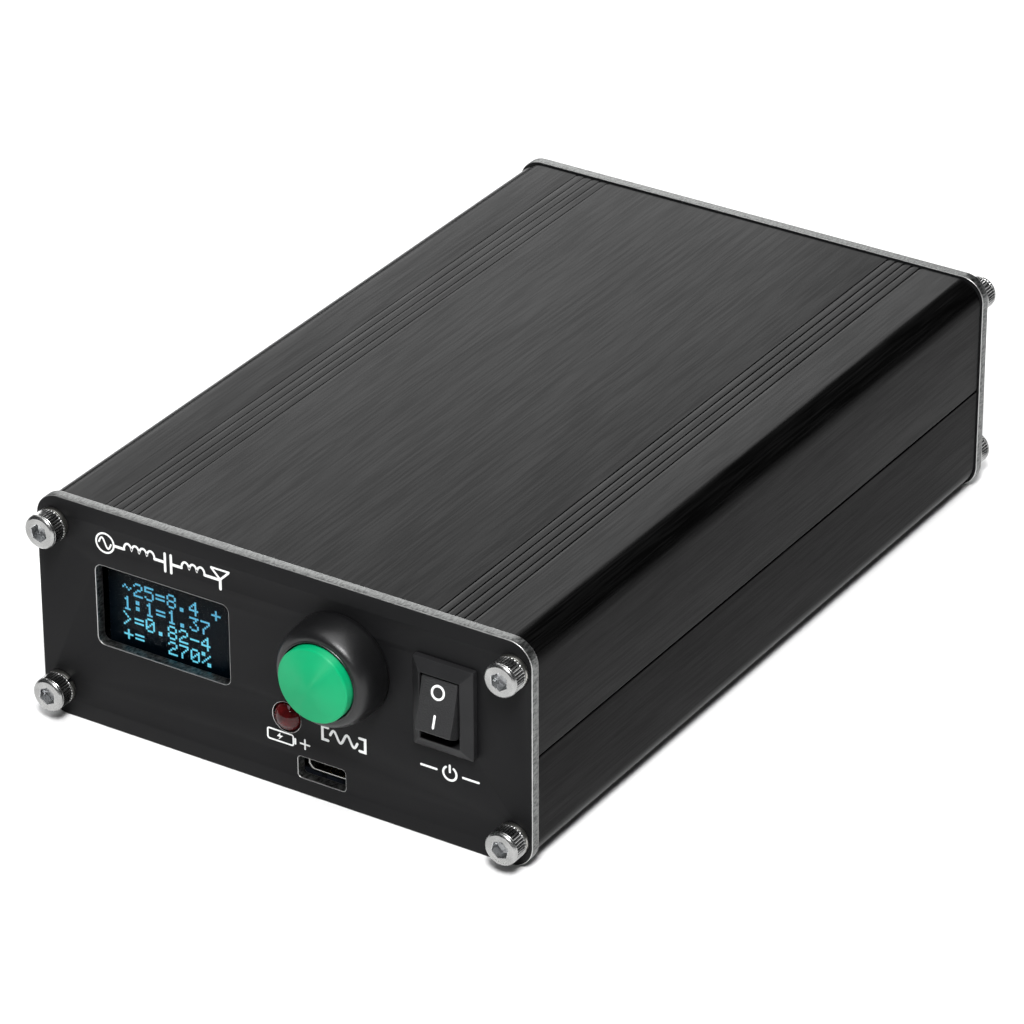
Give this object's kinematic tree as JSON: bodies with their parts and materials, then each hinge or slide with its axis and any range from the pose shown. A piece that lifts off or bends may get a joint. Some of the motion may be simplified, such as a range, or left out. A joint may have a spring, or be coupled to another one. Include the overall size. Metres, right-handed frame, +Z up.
{
  "type": "antenna tuner",
  "caption": "Bench antenna tuner in a split black aluminium case, with display, tune button, power rocker, charging slot and rear coaxial sockets.",
  "frame": {"origin": "middle of the case's flat underside", "axes": "+Y from the front panel to the rear panel, +Z up, +X to the right seen from the front"},
  "size_m": [0.088, 0.1614, 0.038],
  "materials": {
    "case_anodised": "black anodised, finely brushed along its length",
    "plate_black": "matte black with bare cut edges",
    "screw_steel": "satin stainless, knurled heads",
    "spring_steel": "bright spring steel",
    "nickel": "bright nickel plate",
    "contact_gold": "gold flash",
    "copper_wire": "enamelled copper",
    "display_glass": "dark polished glass",
    "black_plastic": "satin black moulding",
    "green_plastic": "satin green moulding",
    "red_lens": "deep red translucent moulding",
    "board_green": "solder resist",
    "board_black": "dark solder resist",
    "relay_plastic": "moulded relay case",
    "capacitor_plastic": "dipped resin",
    "toroid_core": "painted iron powder",
    "ferrite": "ground ferrite",
    "battery_wrap": "foil pouch",
    "insulator_white": "turned fluoropolymer",
    "sleeve_black": "smooth insulation",
    "sleeve_red": "smooth insulation"
  },
  "bodies": {
    "case": {"top_shell": "case_anodised", "bottom_shell": "case_anodised", "front_panel": "plate_black", "rear_panel": "plate_black", "case_screw_front_1": "screw_steel", "spring_washer_front_1": "spring_steel", "case_screw_front_2": "screw_steel", "spring_washer_front_2": "spring_steel", "case_screw_front_3": "screw_steel", "spring_washer_front_3": "spring_steel", "case_screw_front_4": "screw_steel", "spring_washer_front_4": "spring_steel", "case_screw_rear_1": "screw_steel", "spring_washer_rear_1": "spring_steel", "case_screw_rear_2": "screw_steel", "spring_washer_rear_2": "spring_steel", "case_screw_rear_3": "screw_steel", "spring_washer_rear_3": "spring_steel", "case_screw_rear_4": "screw_steel", "spring_washer_rear_4": "spring_steel", "display_glass": "display_glass", "display_board": "board_black", "display_lead": "sleeve_black", "tune_button_housing": "black_plastic", "tune_button_spring": "spring_steel", "tune_button_nut": "nickel", "button_lead": "sleeve_red", "rocker_housing": "black_plastic", "switch_lead": "sleeve_red", "charge_lamp": "red_lens", "charge_socket": "nickel", "charge_socket_tongue": "black_plastic", "charge_board": "board_black", "main_board": "board_green", "inductor_relay_bank": "relay_plastic", "capacitor_relay_bank": "relay_plastic", "tuning_capacitors": "capacitor_plastic", "controller_chip": "black_plastic", "coupler_transformer": "ferrite", "battery_pack": "battery_wrap", "battery_lead": "sleeve_red", "toroid_inductor_1": "toroid_core", "toroid_inductor_2": "toroid_core", "toroid_inductor_3": "toroid_core", "toroid_inductor_4": "toroid_core", "air_coil_inductor_1": "copper_wire", "air_coil_inductor_2": "copper_wire", "air_coil_inductor_3": "copper_wire", "rf_input_socket": "nickel", "rf_input_insulator": "insulator_white", "rf_input_contact": "contact_gold", "rf_input_nut": "nickel", "rf_input_lead": "sleeve_black", "rf_output_socket": "nickel", "rf_output_insulator": "insulator_white", "rf_output_contact": "contact_gold", "rf_output_nut": "nickel", "rf_output_lead": "sleeve_black"},
    "tune_button": {"tune_button_cap": "green_plastic"},
    "rocker": {"rocker_paddle": "black_plastic"}
  },
  "joints": [
    {"name": "tune_button_press", "type": "slide", "parent": "case", "child": "tune_button", "axis": [0, 1, 0], "range_m": [0, 0.0018], "stiffness_N_per_m": 1200, "springref_m": -0.001, "deforming": ["tune_button_spring"]},
    {"name": "rocker_tilt", "type": "hinge", "parent": "case", "child": "rocker", "pos_m": [0.02935, -0.0675, 0.0234], "axis": [1, 0, 0], "range_deg": [0, 30]}
  ]
}
